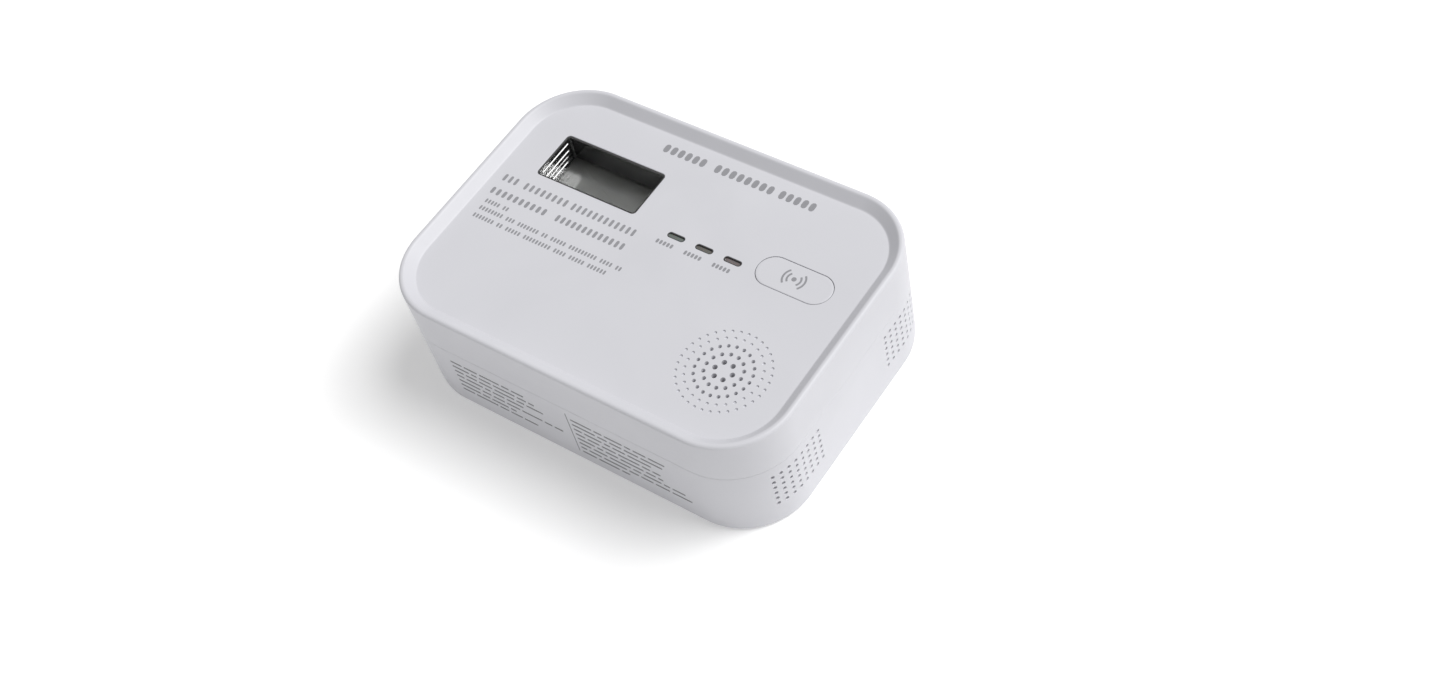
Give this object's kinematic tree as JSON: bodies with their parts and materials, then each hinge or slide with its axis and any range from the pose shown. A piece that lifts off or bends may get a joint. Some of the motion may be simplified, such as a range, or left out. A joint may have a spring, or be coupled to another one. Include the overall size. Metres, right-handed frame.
{
  "type": "carbon monoxide detector",
  "caption": "Battery-run carbon monoxide detector: round-cornered box with rimmed face, deep display well, three indicator slots, test button, round grille, side vents.",
  "frame": {"origin": "centre of the back face, on the plane that it rests on", "axes": "+X along the long side, display at -X and grille at +X; +Y towards the header print, up when hung on a wall; +Z out of the face"},
  "size_m": [0.12, 0.0854, 0.0388],
  "materials": {
    "casing_white": "fine-textured moulded ABS, off-white",
    "door_white": "fine-textured moulded ABS, off-white",
    "well_black": "gloss black",
    "clear_lens": "clear polished acrylic",
    "display_grey": "dark grey display, switched off",
    "strip_rubber": "silicone connector strip",
    "pipe_green": "smoky translucent, faint green",
    "pipe_amber": "smoky translucent, faint amber",
    "pipe_red": "smoky translucent, faint red",
    "lamp_epoxy": "diffused epoxy",
    "part_black": "moulded epoxy or nylon, black",
    "board_green": "solder mask, green",
    "steel": "plated steel",
    "ferrite": "sintered ferrite",
    "capacitor_sleeve": "shrink sleeve, dark blue",
    "foam": "closed-cell foam",
    "brass": "bright",
    "ceramic": "silvered ceramic",
    "wire_red": "PVC insulation, red",
    "wire_black": "PVC insulation, black",
    "filter_white": "porous membrane",
    "cell_sleeve": "printed film sleeve, plain dark",
    "spring_steel": "nickel-plated spring steel",
    "label_white": "blank paper-film label",
    "print_grey": "pad-printed grey ink"
  },
  "bodies": {
    "case": {"front_cover": "casing_white", "rear_housing": "casing_white", "case_screws": "steel", "lcd_frame": "well_black", "lcd_lens": "clear_lens", "lcd_glass": "display_grey", "zebra_strips": "strip_rubber", "light_pipe_power": "pipe_green", "light_pipe_fault": "pipe_amber", "light_pipe_alarm": "pipe_red", "led_power": "lamp_epoxy", "led_fault": "lamp_epoxy", "led_alarm": "lamp_epoxy", "tact_switch_body": "part_black", "main_board": "board_green", "board_screws": "steel", "microcontroller": "part_black", "boost_coil": "ferrite", "buffer_capacitor": "capacitor_sleeve", "chip_resistors": "part_black", "sounder_case": "part_black", "sounder_gasket": "foam", "piezo_disc": "brass", "piezo_ceramic": "ceramic", "sounder_leads": "wire_red", "co_sensor_can": "steel", "co_sensor_cap": "part_black", "sensor_filter": "filter_white", "sensor_pins": "brass", "battery_1": "cell_sleeve", "battery_2": "cell_sleeve", "battery_3": "cell_sleeve", "battery_springs": "spring_steel", "battery_contacts": "spring_steel", "battery_leads": "wire_black", "rating_label": "label_white"},
    "battery_door": {"battery_door": "door_white"},
    "test_button": {"test_button": "casing_white"},
    "switch_plunger": {"tact_switch_plunger": "part_black"}
  },
  "joints": [
    {"name": "door_hinge", "type": "hinge", "parent": "case", "child": "battery_door", "pos_m": [-0.049, 0, 0.0016], "axis": [0, 1, 0], "range_deg": [0, 90]},
    {"name": "button_press", "type": "slide", "parent": "case", "child": "test_button", "axis": [0, 0, -1], "range_m": [0, 0.0005], "stiffness_N_per_m": 600, "springref_m": -0.0003},
    {"name": "plunger_press", "type": "slide", "parent": "case", "child": "switch_plunger", "axis": [0, 0, -1], "range_m": [0, 0.0005]}
  ],
  "couplings": [
    {"joint": "plunger_press", "follows": "button_press", "ratio": 1}
  ]
}
